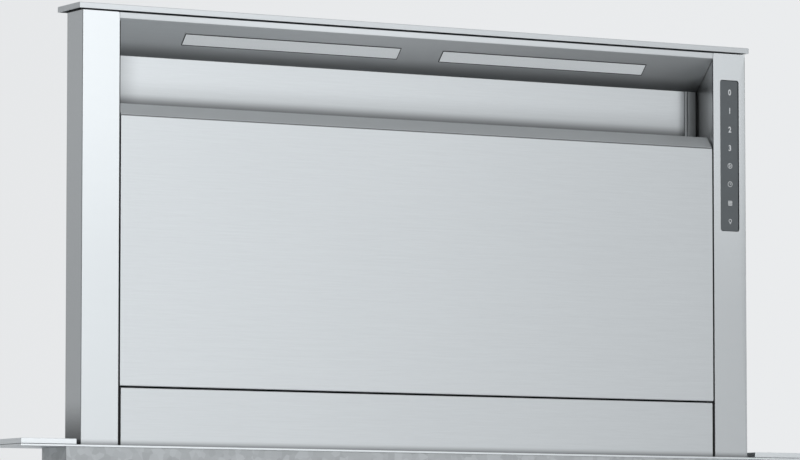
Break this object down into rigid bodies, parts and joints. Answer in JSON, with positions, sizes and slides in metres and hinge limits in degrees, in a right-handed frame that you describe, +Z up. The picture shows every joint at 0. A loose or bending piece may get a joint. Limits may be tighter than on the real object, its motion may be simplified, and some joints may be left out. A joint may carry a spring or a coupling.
{
  "type": "retractable downdraft vent",
  "caption": "Slim stainless extractor tower that rises from a slot in the worktop, with lit intake, tilting front panel, touch control, screw lift, housing, blower and legs below.",
  "frame": {"origin": "middle of the underside of the trim's rear strip, on the worktop's surface, in the vent's middle plane", "axes": "+X to the right as seen from the cook, +Y towards the back, +Z up; the tower is drawn raised"},
  "size_m": [0.798, 0.2761, 1.161],
  "materials": {
    "stainless": "fine horizontal brushing, satin",
    "galvanised": "zinc-coated sheet, dull",
    "aluminium": "mill finish",
    "machined_steel": "turned, light oil",
    "motor_black": "black enamel",
    "black_plastic": "moulded, fine grain",
    "control_glass": "dark grey backed glass, printed in light grey",
    "lamp_lens": "frosted diffuser",
    "led_board": "white solder mask",
    "circuit_green": "green solder mask",
    "belt_rubber": "matt"
  },
  "bodies": {
    "housing": {"trim_frame": "stainless", "trim_end_left": "stainless", "trim_end_right": "stainless", "housing_front": "galvanised", "housing_shell": "galvanised", "housing_floor": "galvanised", "guide_rail_left": "aluminium", "guide_rail_right": "aluminium", "drive_plate": "galvanised", "screw_bearing_left": "black_plastic", "screw_bearing_right": "black_plastic", "lift_motor": "motor_black", "motor_bracket": "galvanised", "drive_belt": "belt_rubber", "limit_switch_strip": "black_plastic", "blower_box": "galvanised", "blower_cover": "galvanised", "blower_scroll": "galvanised", "blower_motor": "motor_black", "outlet_collar": "galvanised", "electronics_box": "galvanised", "electronics_cover": "galvanised", "circuit_board": "circuit_green", "cable_gland": "black_plastic", "worktop_clamp_left": "galvanised", "worktop_clamp_right": "galvanised"},
    "tower": {"top_cap": "stainless", "cap_rail": "aluminium", "column_left": "stainless", "column_right": "stainless", "light_hood": "stainless", "light_lens_left": "lamp_lens", "light_lens_right": "lamp_lens", "led_strip_left": "led_board", "led_strip_right": "led_board", "rear_wall": "stainless", "rear_cover": "stainless", "lower_panel": "stainless", "grease_filter_left": "aluminium", "grease_filter_right": "aluminium", "filter_channel": "aluminium", "drip_tray": "aluminium", "control_glass": "control_glass", "control_board": "circuit_green", "base_frame": "aluminium", "lift_nut_left": "machined_steel", "lift_nut_right": "machined_steel", "guide_shoe_left": "black_plastic", "guide_shoe_right": "black_plastic", "panel_pin_left": "machined_steel", "panel_pin_right": "machined_steel"},
    "panel": {"front_panel": "stainless", "panel_backing": "galvanised"},
    "screw_left": {"lead_screw_left": "machined_steel"},
    "screw_right": {"lead_screw_right": "machined_steel"},
    "wheel": {"blower_wheel": "aluminium"},
    "damper_front": {"damper_flap_front": "aluminium"},
    "damper_rear": {"damper_flap_rear": "aluminium"},
    "leg_left": {"leg_left": "galvanised"},
    "leg_right": {"leg_right": "galvanised"}
  },
  "joints": [
    {"name": "tower_lift", "type": "slide", "parent": "housing", "child": "tower", "axis": [0, 0, 1], "range_m": [-0.374, 0]},
    {"name": "panel_tilt", "type": "hinge", "parent": "tower", "child": "panel", "pos_m": [0, -0.04885, 0.0582], "axis": [1, 0, 0], "range_deg": [0, 75]},
    {"name": "screw_left_spin", "type": "hinge", "parent": "housing", "child": "screw_left", "pos_m": [-0.3233, -0.03235, -0.3], "axis": [0, 0, 1], "range_deg": [-5, 8420]},
    {"name": "screw_right_spin", "type": "hinge", "parent": "housing", "child": "screw_right", "pos_m": [0.3233, -0.03235, -0.3], "axis": [0, 0, 1], "range_deg": [-5, 8420]},
    {"name": "blower_spin", "type": "hinge", "parent": "housing", "child": "wheel", "pos_m": [-0.025, -0.14735, -0.49], "axis": [0, 1, 0], "continuous": true},
    {"name": "damper_front_swing", "type": "hinge", "parent": "housing", "child": "damper_front", "pos_m": [0.1953, -0.14735, -0.415], "axis": [0, 0, 1], "range_deg": [0, 70], "stiffness_Nm_per_rad": 0.02},
    {"name": "damper_rear_swing", "type": "hinge", "parent": "housing", "child": "damper_rear", "pos_m": [0.1953, -0.14735, -0.415], "axis": [0, 0, -1], "range_deg": [0, 70], "stiffness_Nm_per_rad": 0.02},
    {"name": "leg_left_slide", "type": "slide", "parent": "housing", "child": "leg_left", "axis": [0, 0, -1], "range_m": [0, 0.06]},
    {"name": "leg_right_slide", "type": "slide", "parent": "housing", "child": "leg_right", "axis": [0, 0, -1], "range_m": [0, 0.06]}
  ],
  "couplings": [
    {"joint": "screw_left_spin", "follows": "tower_lift", "rad_per_m": -392.7},
    {"joint": "screw_right_spin", "follows": "tower_lift", "rad_per_m": -392.7}
  ]
}
